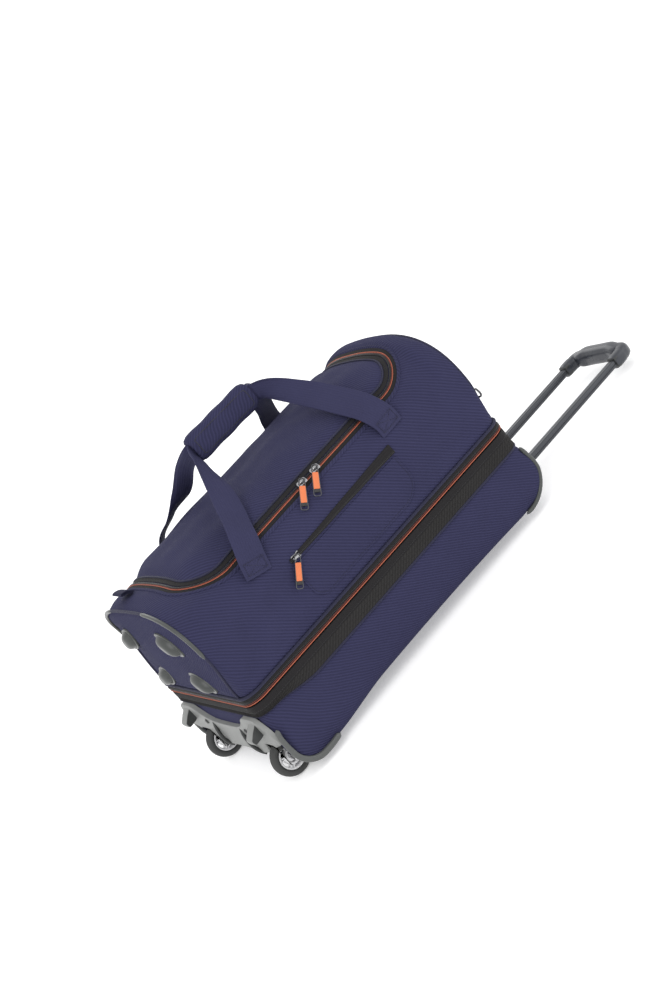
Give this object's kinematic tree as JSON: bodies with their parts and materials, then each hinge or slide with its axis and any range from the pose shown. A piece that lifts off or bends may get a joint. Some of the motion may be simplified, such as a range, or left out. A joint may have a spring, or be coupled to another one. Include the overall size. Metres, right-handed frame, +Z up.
{
  "type": "wheeled travel bag",
  "caption": "Soft fabric wheeled travel bag with a hinged zip lid, joined carry handles, an expansion zip and a telescoping pull handle.",
  "frame": {"origin": "on the floor under the middle of the whole object, pull handle drawn out as in the picture", "axes": "+X from the wheels towards the pull handle, +Y from the front pocket's side to the back, +Z up with the bag lying on its base"},
  "size_m": [0.828, 0.3276, 0.388],
  "materials": {
    "navy_fabric": "ribbed navy polyester",
    "black_fabric": "black zip tape and lining",
    "webbing": "navy webbing",
    "grey_plastic": "satin grey moulding",
    "dark_plastic": "satin dark moulding",
    "tube_metal": "dark anodised",
    "steel": "bright zinc",
    "tyre_rubber": "matt",
    "hub_plastic": "pale grey moulding",
    "orange_plastic": "orange pull with a dark edge"
  },
  "bodies": {
    "base": {"base_shell": "navy_fabric", "base_zip_band": "black_fabric", "floor_panel": "black_fabric", "base_corner_guard_front": "grey_plastic", "base_corner_guard_back": "grey_plastic", "base_glide_front": "dark_plastic", "base_glide_back": "dark_plastic", "wheel_housing": "grey_plastic", "axle_front": "steel", "axle_back": "steel", "housing_screw_front": "steel", "housing_screw_back": "steel", "outer_tube_front": "tube_metal", "outer_tube_back": "tube_metal", "tube_foot": "dark_plastic", "tube_bezel": "dark_plastic"},
    "case": {"case_shell": "navy_fabric", "case_zip_band": "black_fabric", "expansion_gusset": "black_fabric", "lid_zip_case_tape": "black_fabric", "front_pocket": "navy_fabric", "pocket_zip_tape": "black_fabric", "end_corner_guard_front": "grey_plastic", "end_corner_guard_back": "grey_plastic", "end_foot_top_front": "grey_plastic", "end_foot_top_back": "grey_plastic", "end_foot_low_front": "grey_plastic", "end_foot_low_back": "grey_plastic", "handle_end_tab": "black_fabric", "wheel_end_tab": "webbing"},
    "lid": {"lid": "navy_fabric", "lid_zip_lid_tape": "black_fabric"},
    "front_carry_handle": {"carry_strap_front": "webbing", "grip_wrap": "webbing"},
    "back_carry_handle": {"carry_strap_back": "webbing", "grip_flap": "webbing"},
    "pull_handle": {"inner_tube_front": "tube_metal", "inner_tube_back": "tube_metal", "guide_plug_front": "dark_plastic", "guide_plug_back": "dark_plastic", "pull_grip": "dark_plastic"},
    "release": {"release_button": "dark_plastic", "release_rod_front": "steel", "release_rod_back": "steel"},
    "front_wheel": {"tyre_front": "tyre_rubber", "hub_front": "hub_plastic", "bearing_front": "steel"},
    "back_wheel": {"tyre_back": "tyre_rubber", "hub_back": "hub_plastic", "bearing_back": "steel"},
    "lid_zip_a": {"lid_zip_a_slider": "steel"},
    "lid_zip_a_pull": {"lid_zip_a_puller": "orange_plastic"},
    "lid_zip_b": {"lid_zip_b_slider": "steel"},
    "lid_zip_b_pull": {"lid_zip_b_puller": "orange_plastic"},
    "pocket_zip": {"pocket_zip_slider": "steel"},
    "pocket_zip_pull": {"pocket_zip_puller": "orange_plastic"},
    "expansion_zip": {"expansion_zip_slider": "steel"},
    "expansion_zip_pull": {"expansion_zip_puller": "orange_plastic"},
    "side_ring": {"handle_end_ring": "steel"}
  },
  "joints": [
    {"name": "handle_extend", "type": "slide", "parent": "base", "child": "pull_handle", "axis": [1, 0, 0], "range_m": [-0.222, 0.185]},
    {"name": "button_press", "type": "slide", "parent": "pull_handle", "child": "release", "axis": [-1, 0, 0], "range_m": [0, 0.004], "stiffness_N_per_m": 400, "springref_m": -0.003},
    {"name": "front_wheel_spin", "type": "hinge", "parent": "base", "child": "front_wheel", "pos_m": [-0.3865, -0.11, 0.0275], "axis": [0, 1, 0], "continuous": true},
    {"name": "back_wheel_spin", "type": "hinge", "parent": "base", "child": "back_wheel", "pos_m": [-0.3865, 0.11, 0.0275], "axis": [0, 1, 0], "continuous": true},
    {"name": "case_expand", "type": "slide", "parent": "base", "child": "case", "axis": [0, 0, 1], "range_m": [0, 0.055]},
    {"name": "lid_open", "type": "hinge", "parent": "case", "child": "lid", "pos_m": [-0.1345, 0.13, 0.27209], "axis": [-1, 0, 0], "range_deg": [0, 78]},
    {"name": "front_carry_swing", "type": "hinge", "parent": "case", "child": "front_carry_handle", "pos_m": [-0.1345, -0.1564, 0.221], "axis": [1, 0, 0], "range_deg": [0, 156]},
    {"name": "back_carry_swing", "type": "hinge", "parent": "case", "child": "back_carry_handle", "pos_m": [-0.1345, 0.1564, 0.221], "axis": [-1, 0, 0], "range_deg": [0, 78]},
    {"name": "lid_zip_a_slide", "type": "slide", "parent": "case", "child": "lid_zip_a", "axis": [1, 0, 0], "range_m": [-0.04, 0]},
    {"name": "lid_zip_a_swing", "type": "hinge", "parent": "lid_zip_a", "child": "lid_zip_a_pull", "pos_m": [-0.1425, -0.14047, 0.27097], "axis": [0, -0.866, 0.5], "range_deg": [-45, 4]},
    {"name": "lid_zip_b_slide", "type": "slide", "parent": "case", "child": "lid_zip_b", "axis": [1, 0, 0], "range_m": [0, 0.06]},
    {"name": "lid_zip_b_swing", "type": "hinge", "parent": "lid_zip_b", "child": "lid_zip_b_pull", "pos_m": [-0.1175, -0.14047, 0.27097], "axis": [0, -0.866, 0.5], "range_deg": [-4, 80]},
    {"name": "pocket_zip_slide", "type": "slide", "parent": "case", "child": "pocket_zip", "axis": [1, 0, 0], "range_m": [0, 0.175]},
    {"name": "pocket_zip_swing", "type": "hinge", "parent": "pocket_zip", "child": "pocket_zip_pull", "pos_m": [-0.2205, -0.162, 0.215], "axis": [0, -1, 0], "range_deg": [-10, 70]},
    {"name": "expansion_zip_slide", "type": "slide", "parent": "case", "child": "expansion_zip", "axis": [-1, 0, 0], "range_m": [-0.04, 0.35]},
    {"name": "expansion_zip_swing", "type": "hinge", "parent": "expansion_zip", "child": "expansion_zip_pull", "pos_m": [0.0155, 0.162, 0.1265], "axis": [0, 1, 0], "range_deg": [-15, 80]},
    {"name": "side_ring_swing", "type": "hinge", "parent": "case", "child": "side_ring", "pos_m": [0.12671, -0.128, 0.18225], "axis": [0, -1, 0], "range_deg": [-8, 75]}
  ],
  "couplings": [
    {"joint": "front_carry_swing", "follows": "lid_open", "ratio": 2},
    {"joint": "back_carry_swing", "follows": "lid_open", "ratio": 1}
  ]
}
